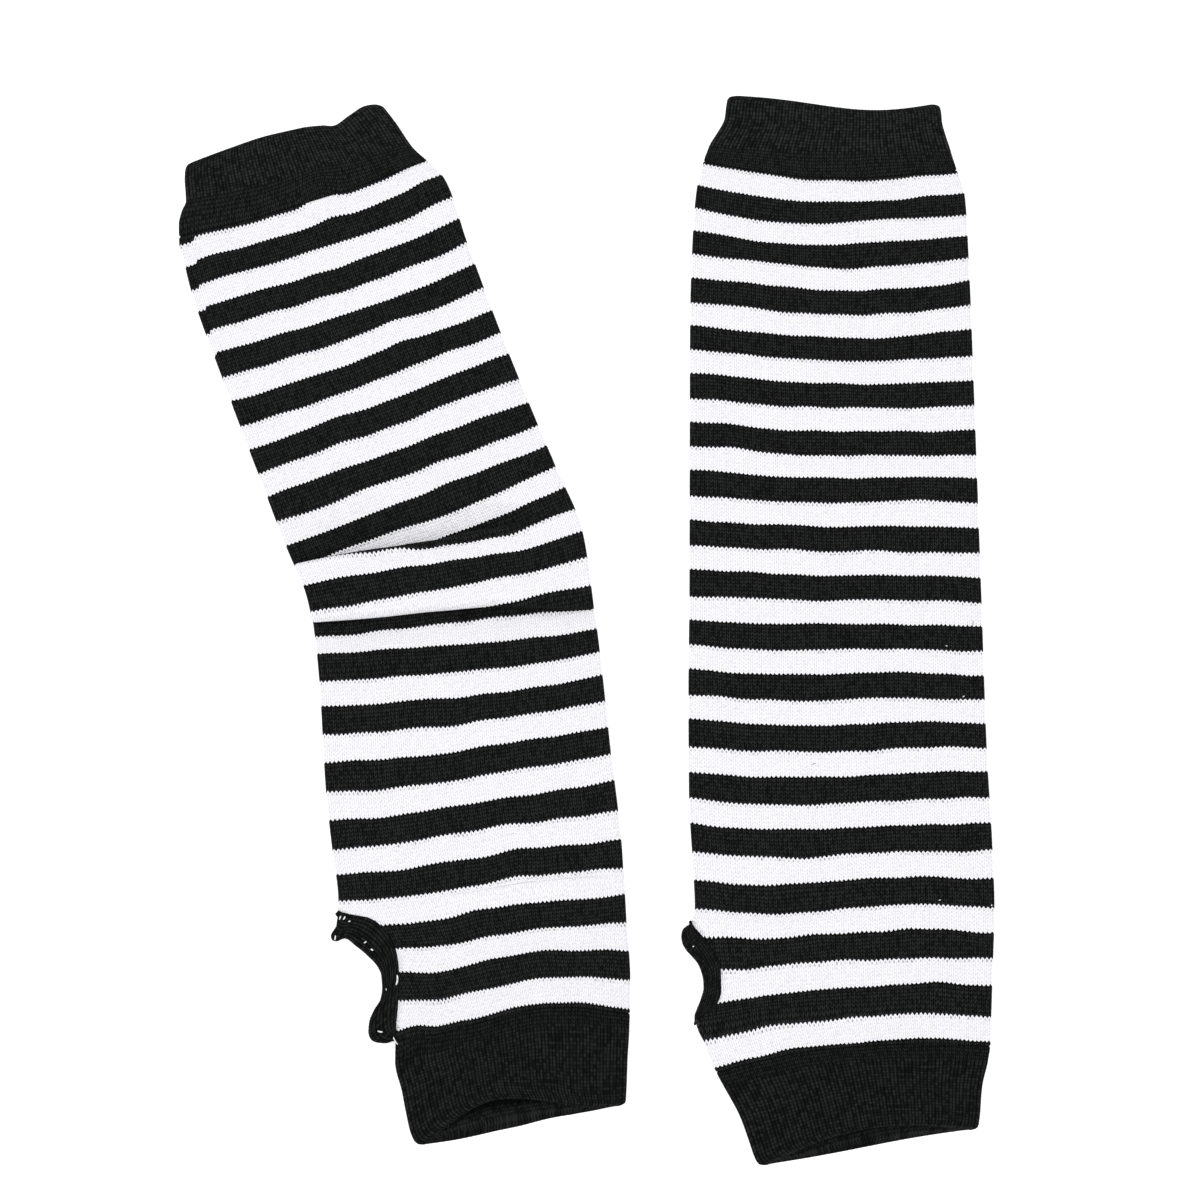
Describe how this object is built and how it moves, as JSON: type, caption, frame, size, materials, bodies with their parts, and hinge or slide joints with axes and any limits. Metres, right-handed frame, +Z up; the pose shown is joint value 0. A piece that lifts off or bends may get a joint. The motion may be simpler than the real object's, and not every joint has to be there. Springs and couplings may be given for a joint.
{
  "type": "pair of knitted arm warmers",
  "caption": "Striped knitted arm warmers lying flat side by side, with dark ribbed cuffs at elbow and hand, ribbed thumb openings, and a bend with folded tucks.",
  "frame": {"origin": "on the surface the pair lies on, below the middle of the pair's bounding box", "axes": "+Y towards the elbow ends, +X to the right as seen from above, +Z up off the surface"},
  "size_m": [0.2529, 0.3314, 0.0088],
  "materials": {
    "striped_jersey": "plain-knit jersey in stripes of seven courses, off-white with a faint lavender tint and near-black in turn",
    "dark_rib": "near-black plain-knit band and 1x1 rib, matt"
  },
  "bodies": {
    "root": {"left_tube": "striped_jersey", "left_elbow_cuff": "dark_rib", "left_hand_cuff": "dark_rib", "left_thumb_band": "dark_rib", "right_tube": "striped_jersey", "right_elbow_cuff": "dark_rib", "right_hand_cuff": "dark_rib", "right_thumb_band": "dark_rib"}
  },
  "joints": []
}
